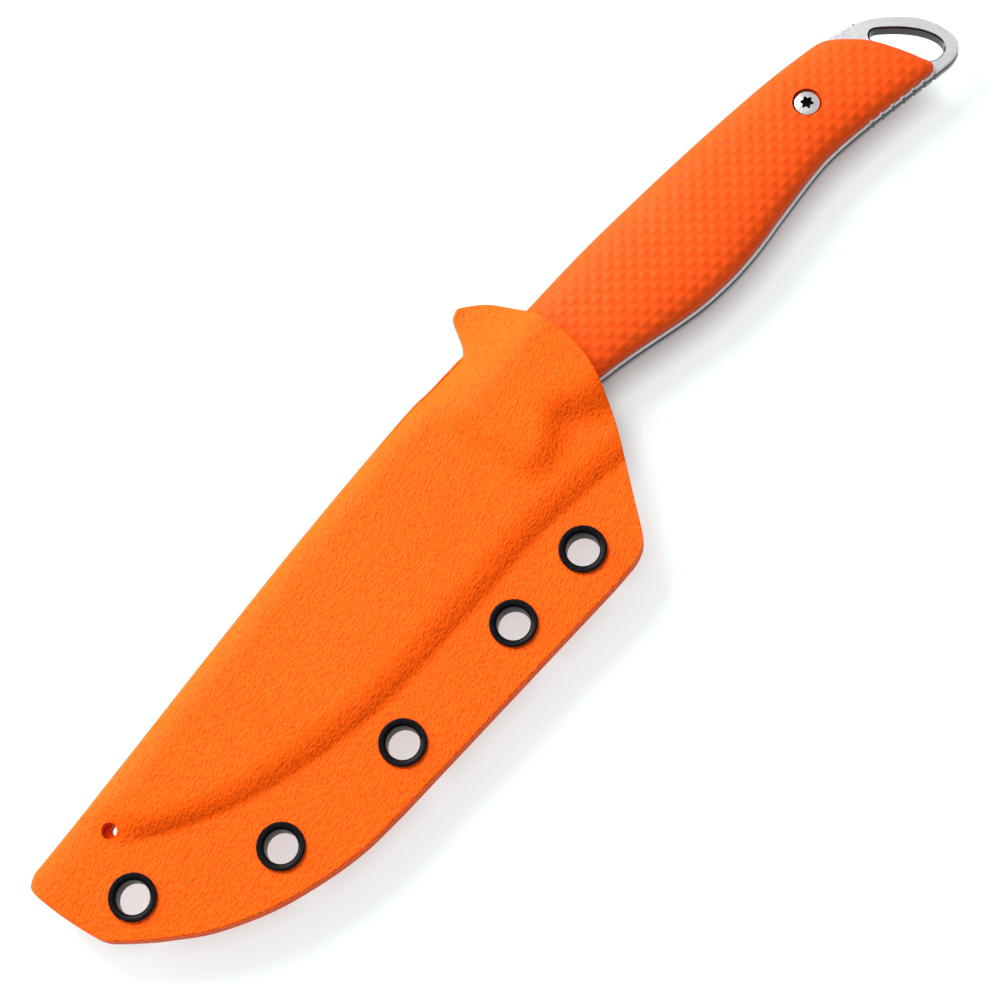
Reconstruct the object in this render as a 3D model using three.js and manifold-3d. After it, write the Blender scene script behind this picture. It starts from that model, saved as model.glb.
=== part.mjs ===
// A fixed-blade sailing knife pushed into a folded thermoplastic sheath, in millimetres.
//
// X runs along the knife, from the closed end of the sheath to the lanyard loop. Y runs from the
// cutting edge to the spine, and Z through the thickness. Every outline shares one drawing origin,
// on the middle plane of the blade and just in front of its heel. The last lines move the whole
// object so that it lies on z = 0 with its origin in the middle of its footprint.
import * as THREE from 'three';
import { mergeVertices } from 'three/addons/utils/BufferGeometryUtils.js';
import Module from 'manifold-3d';

const wasm = await Module();
wasm.setup();

// Sheath: one sheet, folded along the spine and pressed round the knife.
const SHEET = 2.0; // thickness of the sheet
const FLANGE_HALF = SHEET; // half thickness where the two layers are pressed together
const PANEL_HALF = 4.1; // half thickness over the blade
const LOBE_RISE = 1.2; // extra half thickness over the front of the handle
const LOBE_CROWN = 0.55; // how much further the outside swells there
const GRIP_RISE = 3.6; // further half thickness over the handle at the mouth
const MOUTH_X = 33.2; // furthest point of the mouth
const CREASE = { foot: 1.5, width: 6.2, softness: 0.6, inside: 4 }; // slope up to the blade pocket
const SWELL_SOFTNESS = 1.9; // radius over which the swelling round the handle is smoothed
const EAR_SLOPE = { middle: 25.8, width: 9.5 }; // where the panel falls to the thumb ear
const DRAIN_HOLE = { x: -97.8, y: 17.1, radius: 1.65 };

// Eyelets: pressed steel tubes with a rolled lip on each side.
const EYELETS = [[-104.6, 5.1], [-79.4, -11.0], [-49.4, -16.5], [-18.0, -18.4], [1.8, -19.7]];
const EYELET = { bore: 3.55, tube: 3.95, lip: 4.8, lipUnder: 2.25, lipTop: 2.75 };
const EYELET_HOLE = 4.25;

// Knife: one plate, ground to an edge in front and left full width as the tang behind.
const TANG_HALF = 1.75; // half thickness of the plate
const EDGE_HALF = 0.15; // half thickness left at the cutting edge
const BLADE_TIP_X = -95;
const PLUNGE_X = 4; // where the ground bevels end
const GRIND_SHARE = 0.62; // share of the blade's width that the bevels take up

// Handle: two scales, each clamped by two screws into barrels that pass through the tang.
const SCALE_FRONT_X = 9.5;
const SCALE_REAR_X = 123.7;
const SCALE_GAP = 0.05; // glue line between scale and tang
const SCREW_PLACES = { front: [29.5, 11.5], rear: [100.8, 2.1] };
const BARREL = { radius: 2.0, bore: 1.3, half: 3.3 };
const SCREW = { head: 2.65, shank: 1.0, under: 4.3, rim: 5.3, crown: 6.0, foot: 0.8, recess: 1.35 };
const HEAD_POCKET = { radius: 2.95, floor: 4.0 };
const RUNNING_GAP = 0.3; // all round a barrel or screw
const NOTCH = { pitch: 2.62, half: 0.42, depth: 0.27 };

const COLOURS = {
  sheath: { color: '#ff731e', roughness: 0.55, metalness: 0 },
  scale: { color: '#fa5f23', roughness: 0.6, metalness: 0 },
  eyelet: { color: '#17181a', roughness: 0.4, metalness: 0.6 },
  steel: { color: '#c9cacc', roughness: 0.35, metalness: 1 },
  screw: { color: '#d8d8da', roughness: 0.2, metalness: 1 },
};

// ---------------------------------------------------------------- curves

/** 0 below a band of the given width round middle, 1 above it, smooth between. */
function rise(value, middle, width) {
  return THREE.MathUtils.smoothstep(value, middle - width / 2, middle + width / 2);
}

/** A smooth function through [x, y] knots, level beyond the first and the last. */
function curveThrough(knots) {
  const slope = (i) => {
    const before = knots[Math.max(i - 1, 0)];
    const after = knots[Math.min(i + 1, knots.length - 1)];
    return (after[1] - before[1]) / (after[0] - before[0]);
  };
  return (x) => {
    let i = 0;
    while (i < knots.length - 2 && x > knots[i + 1][0]) {
      i += 1;
    }
    const [x0, y0] = knots[i];
    const [x1, y1] = knots[i + 1];
    const span = x1 - x0;
    const t = THREE.MathUtils.clamp((x - x0) / span, 0, 1);
    const away = 1 - t;
    return y0 * away * away * (1 + 2 * t) + y1 * t * t * (3 - 2 * t)
      + span * t * away * (slope(i) * away - slope(i + 1) * t);
  };
}

const foldLine = curveThrough([
  [-117, 23.6], [-90, 24.2], [-60, 25.2], [-30, 26.0], [0, 26.0], [8, 25.3], [18, 24.7], [36, 24.7],
]);
const creaseLine = curveThrough([
  [-101, 17.5], [-97, 14.0], [-87, 6.9], [-75, 0.5], [-60, -4.4], [-45, -7.6], [-20, -9.1],
  [0, -9.9], [10, -11.4], [20, -13.1], [36, -16.5],
]);
const gripLine = curveThrough([
  [5, 3.0], [9, -1.0], [12, -2.7], [15.5, -2.0], [18.5, 1.6], [21.3, 4.2], [23.3, 2.2], [25, -3.2],
  [28, -5.8], [36, -6.5],
]);
const footLine = curveThrough([
  [4, -1.5], [8, -4.2], [10, -4.9], [12, -5.0], [14, -4.5], [16, -3.7], [18, -2.9], [20, -2.8],
  [22, -4.2], [24, -6.4], [26, -8.0], [28, -8.6], [31, -9.0], [36, -9.3],
]);
const slopeWidth = curveThrough([
  [9, 4.0], [13, 4.2], [17, 6.0], [20, 7.0], [24, 8.0], [28, 9.0], [36, 9.0],
]);
const bladeEdge = curveThrough([
  [-95, 15.0], [-92, 12.2], [-87, 8.6], [-75, 2.1], [-60, -2.8], [-45, -6.0], [-20, -7.3],
  [4, -8.2],
]);
const bladeSpine = curveThrough([
  [-95, 15.6], [-92, 17.9], [-85, 20.0], [-75, 21.2], [-60, 21.5], [10, 21.5], [18, 21.3],
  [34, 20.2], [50, 19.1], [65, 17.5], [80, 15.6], [95, 13.3], [103, 11.8], [113, 9.5], [121, 6.6],
]);
const tangBelly = curveThrough([
  [25, 3.9], [28, 1.0], [31, -0.6], [35, -1.6], [40, -2.95], [50, -6.0], [55, -7.3], [60, -8.15],
  [65, -8.65], [72, -8.75], [80, -8.3], [90, -7.9], [96, -8.1], [105, -9.6], [115, -11.8],
  [125, -14.05],
]);
const scaleBelly = curveThrough([
  [9.5, 2.6], [11, 0.7], [13, 0.1], [16, 1.6], [19, 4.6], [22, 6.2], [25, 4.5], [28, 1.6],
  [31, 0.0], [35, -0.95], [40, -2.3], [50, -5.35], [55, -6.65], [60, -7.5], [65, -8.0], [72, -8.1],
  [80, -7.65], [90, -7.25], [96, -7.45], [105, -9.0], [115, -11.15], [122, -12.65], [123.7, -12.0],
]);
const scaleSpine = curveThrough([
  [9.5, 19.4], [11, 20.4], [13, 20.6], [18, 20.5], [34, 19.8], [50, 18.8], [65, 17.2], [80, 15.3],
  [95, 13.0], [103, 11.5], [112.5, 9.3], [114.8, 7.9], [116.4, 6.4], [117.9, 4.4], [119.4, 2.2],
  [120.6, -0.2], [121.6, -3.0], [122.4, -6.0], [123.1, -9.0], [123.7, -11.3],
]);
const scaleCrown = curveThrough([
  [9.5, 2.5], [13, 3.3], [20, 4.6], [30, 6.0], [45, 6.6], [70, 6.8], [95, 6.6], [110, 6.2],
  [118, 5.4], [122, 4.2], [123.7, 2.7],
]);

// ---------------------------------------------------------------- solids

/** A closed three.js geometry as a solid that can be cut and joined. */
function solid(geometry) {
  const bare = geometry.index ? geometry.toNonIndexed() : geometry.clone();
  bare.deleteAttribute('normal');
  bare.deleteAttribute('uv');
  const merged = mergeVertices(bare, 1e-5);
  return new wasm.Manifold(new wasm.Mesh({
    numProp: 3,
    vertProperties: new Float32Array(merged.attributes.position.array),
    triVerts: new Uint32Array(merged.index.array),
  }));
}

/** The surface of a solid as a geometry with flat-shaded faces. */
function geometryOf(body) {
  const mesh = body.getMesh();
  const geometry = new THREE.BufferGeometry();
  geometry.setAttribute('position', new THREE.BufferAttribute(mesh.vertProperties, mesh.numProp));
  geometry.setIndex(new THREE.BufferAttribute(mesh.triVerts, 1));
  const flat = geometry.toNonIndexed();
  flat.computeVertexNormals();
  return flat;
}

/** A skin over rings of [y, z] points, one ring at each x, closed by a flat face at each end. */
function loft(stations, ringAt) {
  const rings = stations.map((x) => ringAt(x).map(([y, z]) => [x, y, z]));
  const count = rings[0].length;
  const positions = [];
  for (let i = 0; i + 1 < rings.length; i += 1) {
    for (let j = 0; j < count; j += 1) {
      const next = (j + 1) % count;
      const [a, b, c, d] = [rings[i][j], rings[i][next], rings[i + 1][next], rings[i + 1][j]];
      positions.push(...a, ...b, ...c, ...a, ...c, ...d);
    }
  }
  const cap = (ring, outward) => {
    for (let j = 0; j + 1 < count - 1 - j; j += 1) {
      const [a, b, c, d] = [ring[j], ring[j + 1], ring[count - 2 - j], ring[count - 1 - j]];
      const faces = b === c ? [[a, b, d]] : [[a, b, c], [a, c, d]];
      faces.forEach((face) => positions.push(...(outward ? face : face.reverse()).flat()));
    }
  };
  cap(rings[0], false);
  cap(rings[rings.length - 1], true);
  const geometry = new THREE.BufferGeometry();
  geometry.setAttribute('position', new THREE.Float32BufferAttribute(positions, 3));
  return geometry;
}

/** A ring that runs up the lower face and back down the upper one, mirrored about z = 0. */
function mirroredRing(heights, halfAt) {
  const upper = heights.map((y) => [y, halfAt(y)]);
  const lower = heights.map((y) => [y, -halfAt(y)]);
  const closes = upper[upper.length - 1][1] < 1e-6;
  const under = closes ? lower.slice(0, -1) : lower;
  return [...under, ...upper.reverse()];
}

/** Evenly spaced numbers from a to b, both included. */
function steps(a, b, count) {
  return Array.from({ length: count + 1 }, (_, i) => THREE.MathUtils.lerp(a, b, i / count));
}

function extrude(shape, low, high, curveSegments = 12) {
  const settings = { depth: high - low, bevelEnabled: false, curveSegments };
  return new THREE.ExtrudeGeometry(shape, settings).translate(0, 0, low);
}

function rod(radius, low, high, segments = 20) {
  const cylinder = new THREE.CylinderGeometry(radius, radius, high - low, segments);
  return cylinder.rotateX(Math.PI / 2).translate(0, 0, (low + high) / 2);
}

/** A closed [radius, height] profile turned about the Z axis. */
function turned(profile, segments) {
  const points = profile.map(([r, z]) => new THREE.Vector2(r, z));
  return new THREE.LatheGeometry(points, segments).rotateX(Math.PI / 2);
}

function sub(from, ...cutters) {
  return cutters.reduce((body, cutter) => body.subtract(cutter), from);
}

// ---------------------------------------------------------------- sheath

/** Half thickness of the sheath over the blade alone: it fades to the flange at the tip. */
function panelRise(x) {
  return (PANEL_HALF - FLANGE_HALF) * rise(x, -93, 14);
}

/** The blade pocket over the flange: steep at the foot of the crease, and round above it. */
function panelStep(x, y) {
  const climb = THREE.MathUtils.clamp((y - creaseLine(x) + CREASE.foot) / CREASE.width, 0, 1);
  return panelRise(x) * (1 - (1 - climb) ** 2);
}

/** The room that the blade needs inside the same slope. */
function panelRoom(x, y) {
  return panelRise(x) * rise(y, creaseLine(x), CREASE.inside);
}

/** A relief averaged over a disc, as thick sheet rounds off whatever it is pressed on. */
function softened(relief, x, y, reach) {
  const around = (radius, count) => steps(0, 2 * Math.PI, count).slice(1).map((angle) => (
    relief(x + radius * Math.cos(angle), y + radius * Math.sin(angle))
  ));
  const samples = [relief(x, y), ...around(reach / 2, 6), ...around(reach, 12)];
  return samples.reduce((sum, value) => sum + value, 0) / samples.length;
}

/** Extra half thickness outside, over the front of the handle: a swelling with soft slopes. */
function handleSwell(x, y) {
  const lobe = LOBE_RISE + LOBE_CROWN * (1 - rise(x, 21, 8));
  const height = lobe + GRIP_RISE * rise(x, 20.5, 30);
  const climb = THREE.MathUtils.clamp((y - footLine(x)) / slopeWidth(x), 0, 1) ** 0.9;
  return height * rise(x, 7, 5) * rise(climb, 0.5, 1) * (1 - rise(y, 19, 9));
}

/** Extra half thickness inside: the room that the handle needs as it slides out. */
function handleRoom(x, y) {
  const lobe = LOBE_RISE * rise(x, 9, 6) * rise(y, -2.3, 4);
  const grip = GRIP_RISE * rise(x, 20.5, 30) * rise(y, gripLine(x), 5);
  return (lobe + grip) * (1 - rise(y, 20.5, 6));
}

/** Half thickness of the pressed sheet, outside for shift = 0 and inside for shift = SHEET. */
function sheathHalf(x, y, shift) {
  const raised = shift > 0
    ? panelRoom(x, y) + handleRoom(x, y)
    : softened(panelStep, x, y, CREASE.softness) + softened(handleSwell, x, y, SWELL_SOFTNESS);
  const level = FLANGE_HALF + raised - shift;
  const radius = FLANGE_HALF + panelRise(x) - shift;
  const above = (y - foldLine(x) + FLANGE_HALF + panelRise(x)) / radius;
  const folded = above <= 0 ? level : level * Math.max(1 - above ** 2.3, 0) ** (1 / 2.3);
  const kept = 1 - rise(y, EAR_SLOPE.middle, EAR_SLOPE.width);
  const pressed = FLANGE_HALF - shift + (level - FLANGE_HALF + shift) * kept;
  return THREE.MathUtils.lerp(folded, pressed, rise(x, 18, 4));
}

/** Heights at which a section of the sheath is drawn, from below the crease up to the top. */
function sectionHeights(x, top, shift) {
  const crease = creaseLine(x);
  const foldRadius = FLANGE_HALF + panelRise(x);
  const shoulder = foldLine(x) - foldRadius;
  const reach = top - shoulder;
  const squeeze = Math.min(1, (shoulder - crease) / 6);
  const climb = [-2.1, -1.5, -0.8, 0.4, 1.8, 3.2, 4.7].map((step) => crease + step * squeeze);
  return [
    ...climb,
    ...steps(climb[climb.length - 1], shoulder, 9).slice(1),
    ...(shift > 0 ? [0.5, 0.85, 1] : [0.45, 0.78, 0.95, 1]).map((share) => shoulder + reach * share),
  ];
}

function sheathStations(first, last) {
  const slow = steps(first, 4, Math.round((4 - first) / 7));
  return [...slow, ...steps(4, last, Math.round((last - 4) / 2.4)).slice(1)];
}

function sheathOuter() {
  const ring = (x) => {
    const top = THREE.MathUtils.lerp(foldLine(x), 34, rise(x, 18, 4));
    const below = [-33, creaseLine(x) - 2 * CREASE.foot];
    const closed = top - foldLine(x) < 1e-6;
    return mirroredRing([...below, ...sectionHeights(x, top, 0)], (y) => (
      closed && y >= top - 1e-9 ? 0 : Math.max(sheathHalf(x, y, 0), 0.05)
    ));
  };
  return solid(loft(sheathStations(-118, 36), ring));
}

function sheathCavity() {
  const ring = (x) => {
    const top = foldLine(x) - SHEET + 1.4 * rise(x, 18, 4);
    return mirroredRing(sectionHeights(x, top, SHEET), (y) => (
      Math.max(sheathHalf(x, y, SHEET), 0.12)
    ));
  };
  return solid(loft(sheathStations(-97, 36), ring));
}

/** The trimmed edge of the folded sheet, with the thumb ear at the mouth. */
function sheathOutline() {
  const outline = new THREE.Shape();
  outline.moveTo(-113.2, 23.7);
  outline.lineTo(-113.2, 28);
  outline.lineTo(15.9, 28);
  outline.lineTo(15.9, 24.8);
  outline.lineTo(17.6, 24.6);
  outline.quadraticCurveTo(19.2, 24.9, 20.4, 26.9);
  outline.lineTo(22.4, 30.3);
  outline.quadraticCurveTo(24.0, 33.0, 26.7, 30.4);
  outline.splineThru([
    new THREE.Vector2(29.6, 26.95), new THREE.Vector2(31.5, 22.1),
    new THREE.Vector2(MOUTH_X - 0.45, 16.8), new THREE.Vector2(MOUTH_X, 12.0),
    new THREE.Vector2(MOUTH_X - 0.35, 7.0), new THREE.Vector2(31.6, 2.2),
    new THREE.Vector2(29.2, -3.0), new THREE.Vector2(24.9, -9.9),
  ]);
  outline.lineTo(12.6, -25.5);
  outline.quadraticCurveTo(9.7, -29.1, 5.2, -29.2);
  outline.lineTo(0, -29.1);
  outline.lineTo(-60, -24.9);
  outline.splineThru([
    new THREE.Vector2(-70, -23.7), new THREE.Vector2(-80, -21.0), new THREE.Vector2(-90, -17.0),
    new THREE.Vector2(-100, -10.9), new THREE.Vector2(-107.6, -4.0),
  ]);
  outline.lineTo(-113.3, 2.5);
  outline.quadraticCurveTo(-114.9, 4.4, -115.2, 7.2);
  outline.quadraticCurveTo(-116.4, 14.5, -116.1, 20.4);
  outline.quadraticCurveTo(-115.9, 23.4, -113.2, 23.7);
  return outline;
}

function sheathShell() {
  const blank = sheathOuter().intersect(solid(extrude(sheathOutline(), -15, 15, 6)));
  const holes = EYELETS.map(([x, y]) => solid(rod(EYELET_HOLE, -6, 6, 24).translate(x, y, 0)));
  const { x, y, radius } = DRAIN_HOLE;
  const drain = solid(rod(radius, -6, 6, 12).translate(x, y, 0));
  return geometryOf(sub(blank, sheathCavity(), drain, ...holes));
}

function eyelet() {
  const { bore, tube, lip, lipUnder, lipTop } = EYELET;
  const half = [
    [bore, lipUnder], [bore + 0.3, lipTop], [lip - 0.35, lipTop], [lip, lipUnder],
    [tube, lipUnder],
  ];
  const mirrored = half.map(([r, z]) => [r, -z]).reverse();
  const profile = [...half, ...mirrored, half[0]].reverse();
  return turned(profile, 20);
}

// ---------------------------------------------------------------- knife

/** The ground part of the blade: flat bevels from the edge up to the full thickness. */
function groundBlade() {
  const ring = (x) => {
    const half = Math.min(TANG_HALF, 0.3 + 0.15 * (x - BLADE_TIP_X));
    const edge = bladeEdge(x);
    const spine = bladeSpine(x);
    const shoulder = THREE.MathUtils.lerp(edge, spine, GRIND_SHARE);
    const edgeHalf = Math.min(EDGE_HALF, half);
    const corner = 0.3 * (half / TANG_HALF);
    return mirroredRing([edge, shoulder, spine - corner, spine], (y) => {
      if (y === edge) {
        return edgeHalf;
      }
      return y === spine ? half - corner : half;
    });
  };
  const stations = [...steps(BLADE_TIP_X, -80, 6), ...steps(-80, PLUNGE_X + 0.5, 14).slice(1)];
  return solid(loft(stations, ring));
}

/** Walks an outline along a curve and cuts a thumb notch at each of the given places. */
function notchedRun(outline, edge, places, inward) {
  places.forEach((x) => {
    const back = Math.sign(places[1] - places[0]) * NOTCH.half;
    outline.lineTo(x - back, edge(x - back));
    outline.quadraticCurveTo(x, edge(x) + 2 * inward * NOTCH.depth, x + back, edge(x + back));
  });
}

/** The plate behind the bevels: ricasso, guard, finger groove, full tang and lanyard loop. */
function tangOutline() {
  const outline = new THREE.Shape();
  outline.moveTo(PLUNGE_X, bladeEdge(PLUNGE_X));
  outline.lineTo(9, -8.8);
  outline.quadraticCurveTo(13.5, -10.4, 15.5, -8.8);
  outline.quadraticCurveTo(16.9, -7.4, 16.7, -3.5);
  outline.quadraticCurveTo(16.7, 5.6, 21.5, 5.7);
  outline.quadraticCurveTo(23.8, 5.6, 25, tangBelly(25));
  steps(26, 104, 39).forEach((x) => outline.lineTo(x, tangBelly(x)));
  const lowerNotches = Array.from({ length: 7 }, (_, i) => 106.7 + i * NOTCH.pitch);
  notchedRun(outline, tangBelly, lowerNotches, 1);
  outline.lineTo(125.3, -14.1);
  outline.quadraticCurveTo(128.4, -14.8, 130.2, -13.7);
  outline.quadraticCurveTo(132.0, -12.5, 131.9, -9.2);
  outline.quadraticCurveTo(131.7, -4.0, 128.8, -0.5);
  outline.quadraticCurveTo(126.3, 3.2, 123.3, 5.3);
  const upperNotches = Array.from({ length: 8 }, (_, i) => 121 - i * NOTCH.pitch);
  notchedRun(outline, bladeSpine, upperNotches, -1);
  steps(101, 34, 33).forEach((x) => outline.lineTo(x, bladeSpine(x)));
  outline.lineTo(18, bladeSpine(18));
  outline.lineTo(PLUNGE_X, bladeSpine(PLUNGE_X));
  return outline;
}

/** The lanyard opening, behind the end of the scales. */
function lanyardOpening() {
  const opening = new THREE.Path();
  opening.moveTo(121.2, 1.9);
  opening.quadraticCurveTo(122.3, 3.4, 123.9, 1.5);
  opening.quadraticCurveTo(129.0, -4.3, 129.3, -8.8);
  opening.quadraticCurveTo(129.3, -11.9, 126.6, -11.9);
  opening.quadraticCurveTo(124.6, -11.8, 124.1, -10.2);
  opening.quadraticCurveTo(122.9, -3.2, 121.1, 0.4);
  opening.quadraticCurveTo(120.8, 1.3, 121.2, 1.9);
  return opening;
}

function blade() {
  const outline = tangOutline();
  outline.holes.push(lanyardOpening());
  const tang = solid(extrude(outline, -TANG_HALF, TANG_HALF, 5));
  const holes = Object.values(SCREW_PLACES).map(([x, y]) => (
    solid(rod(BARREL.radius + RUNNING_GAP, -3, 3, 20).translate(x, y, 0))
  ));
  return geometryOf(sub(groundBlade().add(tang), ...holes));
}

/** A handle scale above (side 1) or below (side -1) the tang: a crowned slab with round edges. */
function scale(side) {
  const base = TANG_HALF + SCALE_GAP;
  const ring = (x) => {
    const low = scaleBelly(x);
    const high = scaleSpine(x);
    const rim = Math.min(0.7, (scaleCrown(x) - base) / 2);
    const bow = steps(0, Math.PI, 8).map((angle) => {
      const out = Math.sign(Math.cos(angle)) * Math.abs(Math.cos(angle)) ** 0.7;
      const up = Math.sin(angle) ** 0.7;
      return [(low + high) / 2 + out * (high - low) / 2, base + rim + up * (scaleCrown(x) - base - rim)];
    });
    const section = [[low, base], [high, base], ...bow];
    return side > 0 ? section : section.map(([y, z]) => [y, -z]).reverse();
  };
  const stations = [
    SCALE_FRONT_X, 11, 13, 15, ...steps(17, 33, 7), ...steps(40, 108, 11), 112.5,
    ...steps(114.8, 122.4, 5), 123.2, SCALE_REAR_X,
  ];
  const pocket = side > 0 ? [HEAD_POCKET.floor, 9] : [-9, -HEAD_POCKET.floor];
  const holes = Object.values(SCREW_PLACES).flatMap(([x, y]) => [
    solid(rod(BARREL.radius + RUNNING_GAP, -5, 5, 20).translate(x, y, 0)),
    solid(rod(HEAD_POCKET.radius, ...pocket, 24).translate(x, y, 0)),
  ]);
  return geometryOf(sub(solid(loft(stations, ring)), ...holes));
}

/** A tube through the tang, open at both ends for the two screws. */
function barrel() {
  const { radius, bore, half } = BARREL;
  return turned([[bore, half], [radius, half], [radius, -half], [bore, -half], [bore, half]].reverse(), 16);
}

/** A six-lobed drive recess, as a cutter that reaches down into the screw's head. */
function driveRecess() {
  const points = Array.from({ length: 12 }, (_, i) => {
    const angle = (i / 12) * 2 * Math.PI;
    const reach = SCREW.recess * (1 + 0.13 * Math.cos(6 * angle));
    return new THREE.Vector2(reach * Math.cos(angle), reach * Math.sin(angle));
  });
  return solid(extrude(new THREE.Shape(points), SCREW.rim - 0.7, SCREW.crown + 1));
}

function screw() {
  const { head, shank, under, rim, crown, foot } = SCREW;
  const profile = [
    [0, crown], [head * 0.55, crown - 0.12], [head * 0.88, rim + 0.25], [head, rim - 0.2],
    [head, under], [shank, under], [shank, foot], [0, foot],
  ];
  return geometryOf(solid(turned(profile.reverse(), 18)).subtract(driveRecess()));
}

// ---------------------------------------------------------------- assembly

const object = new THREE.Group();

/** Adds a named piece to the object and returns it, to be placed. */
function piece(name, geometry, look) {
  const mesh = new THREE.Mesh(geometry, new THREE.MeshStandardMaterial(COLOURS[look]));
  mesh.name = name;
  object.add(mesh);
  return mesh;
}

piece('sheath_shell', sheathShell(), 'sheath');
EYELETS.forEach(([x, y], i) => piece(`eyelet_${i + 1}`, eyelet(), 'eyelet').position.set(x, y, 0));
piece('blade', blade(), 'steel');
piece('upper_scale', scale(1), 'scale');
piece('lower_scale', scale(-1), 'scale');
Object.entries(SCREW_PLACES).forEach(([end, [x, y]]) => {
  piece(`${end}_barrel`, barrel(), 'screw').position.set(x, y, 0);
  piece(`${end}_screw_upper`, screw(), 'screw').position.set(x, y, 0);
  const under = piece(`${end}_screw_lower`, screw(), 'screw');
  under.position.set(x, y, 0);
  under.rotation.x = Math.PI;
});

// The object's own frame: the middle of its footprint, on the surface that it lies on.
const box = new THREE.Box3().setFromObject(object);
const middle = box.getCenter(new THREE.Vector3());
object.position.set(-middle.x, -middle.y, -box.min.z);
object.updateMatrixWorld(true);

export default object;
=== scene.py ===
import math

import bmesh
import bpy
import numpy as np
from mathutils import Matrix, Vector, kdtree


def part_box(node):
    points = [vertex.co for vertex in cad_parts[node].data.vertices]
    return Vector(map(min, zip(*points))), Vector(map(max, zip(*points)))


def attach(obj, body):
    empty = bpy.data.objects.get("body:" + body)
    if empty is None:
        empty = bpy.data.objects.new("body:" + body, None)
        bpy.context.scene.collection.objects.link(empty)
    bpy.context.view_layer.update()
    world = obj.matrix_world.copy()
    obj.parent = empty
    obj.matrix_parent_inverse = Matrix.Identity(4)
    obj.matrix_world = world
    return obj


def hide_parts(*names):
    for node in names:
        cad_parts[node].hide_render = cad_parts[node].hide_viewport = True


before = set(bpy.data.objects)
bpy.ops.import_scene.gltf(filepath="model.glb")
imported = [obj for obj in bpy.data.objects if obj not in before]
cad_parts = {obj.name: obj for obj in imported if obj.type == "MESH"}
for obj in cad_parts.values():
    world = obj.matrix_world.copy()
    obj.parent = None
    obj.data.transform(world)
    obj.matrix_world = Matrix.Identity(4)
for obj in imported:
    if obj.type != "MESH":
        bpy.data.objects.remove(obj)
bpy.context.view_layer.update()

# A sailing knife in its folded sheath. Everything below is drawn in millimetres on the knife's own
# drawing axes: X towards the lanyard loop, Y from the cutting edge to the spine, Z = 0 on the middle
# plane of the blade. place() carries a drawing point into the frame, in metres.

MM = 0.001
EYELET_CENTRES = [(-104.6, 5.1), (-79.4, -11.0), (-49.4, -16.5), (-18.0, -18.4), (1.8, -19.7)]


def middle_of(node):
    low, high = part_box(node)
    return (low + high) / 2


# where the drawing origin lies in the frame, by the first eyelet
SHIFT = middle_of("eyelet_1") - Vector((*EYELET_CENTRES[0], 0)) * MM

# ---------------------------------------------------------------- driving sizes, in millimetres
#
# A pair that is called a start, end, top or slope is the middle and the width of a band in which
# a height comes in or fades out.

# the folded sheet
SHEET = 1.9
FLANGE_HALF = 2.0
LAYER_GAP = 0.1
PANEL_HALF = 4.1
PANEL_START = (-96.5, 9)
POCKET_START = (-93, 14)
FOLD_ROUND = 6.5
FOLD_POWER = 2.1
INNER_FOLD_POWER = 2.2
TRIMMED_ROUND = 0.3
INNER_TRIMMED_ROUND = 0.15
HAND_FORMED = (2.2, 0.95, 0.03)

# the pressed line round the blade
CREASE_WIDTH = 6.2
CREASE_FOOT = 1.5
CREASE_SOFTNESS = 0.6
CREASE_ROOM = 4.0

# the swelling over the front of the handle
LOBE_RISE = 1.2
LOBE_CROWN = 0.55
LOBE_START = (6.6, 3.6)
CROWN_END = (21, 8)
GRIP_RISE = 3.58
GRIP_START = (20.5, 30)
SWELL_CLIMB = 0.9
SWELL_TOP = (19, 9)
SWELL_SOFTNESS = 2.2
LOBE_ROOM_START = (9, 6)
LOBE_ROOM_FOOT = (-2.3, 4)
GRIP_ROOM_WIDTH = 5
ROOM_TOP = (20.5, 6)

# the thumb ear
EAR_START = (18, 4)
EAR_SLOPE = (25.8, 9.5)
EAR_ROUND = 0.7

# eyelets and drain hole: a hole is its centre and its radius
EYELET_HOLE = 4.25
EYELET_BORE = 3.3
LIP_CENTRE = (4.52, 2.5)
LIP_ROUND = 0.26
LIP_SHOULDER = (3.95, 2.25)
FLARE_FOOT = 1.75
FLARE = (0.85, 0.95)
DRAIN_FRONT = (-97.8, 17.1, 1.6)
DRAIN_BACK = (-96.6, 16.9, 1.25)

# blade and tang
TANG_HALF = 1.75
CHAMFER = 0.36
EDGE_HALF = 0.12
POINT_X = -95
POINT_HALF = 0.35
POINT_GROWTH = 0.15
PLUNGE_X = 4.0
GUARD_X = 6.2
RUN_OUT = 3.0
GRIND_SHARE = 0.62
GRIND_REACH = 6
GRIND_TOP = 8.75
NOTCH_PITCH = 2.62
NOTCH_HALF = 0.42
NOTCH_DEPTH = 0.27
LOWER_NOTCHES = 106.7 + NOTCH_PITCH * np.arange(7)
UPPER_NOTCHES = 121 - NOTCH_PITCH * np.arange(8)

# handle scales
SCALE_BASE = 1.8
SCALE_RIM = 0.9
CREST_SHARE = 0.6
SCALE_ROUND = 2.3
REAR_ROUND = 3.2
FRONT_ROUND = 5.0
BACK_SCALE_INSET = 0.6
PYRAMID_PITCH = 2.35
PYRAMID_HEIGHT = 0.22
PYRAMID_DATUM = 0.7
PYRAMID_MARGIN = (0.45, 0.7)
SHARP_SHARE = 0.35
PYRAMID_TURN = math.radians(39.5)

# screws: the foot of a head and its stud are points of radius and height
SCREW_PLACES = {"front": (29.5, 11.5), "rear": (100.8, 2.1)}
BARREL_HOLE = 2.3
HEAD_POCKET = (2.95, 4.0)
HEAD_SUNK = 0.3
HEAD_RADIUS = 2.65
DOME_RADIUS = 2.56
DOME_DROP = 0.34
RIM_DROP = 0.44
HEAD_FOOT = [(2.65, 4.35), (2.5, 4.3)]
STUD = [(1.0, 4.3), (1.0, 0.8)]
RECESS_RADIUS = 1.15
RECESS_LOBE = 0.2
RECESS_DEPTH = 1.3


# ---------------------------------------------------------------- curves

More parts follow.
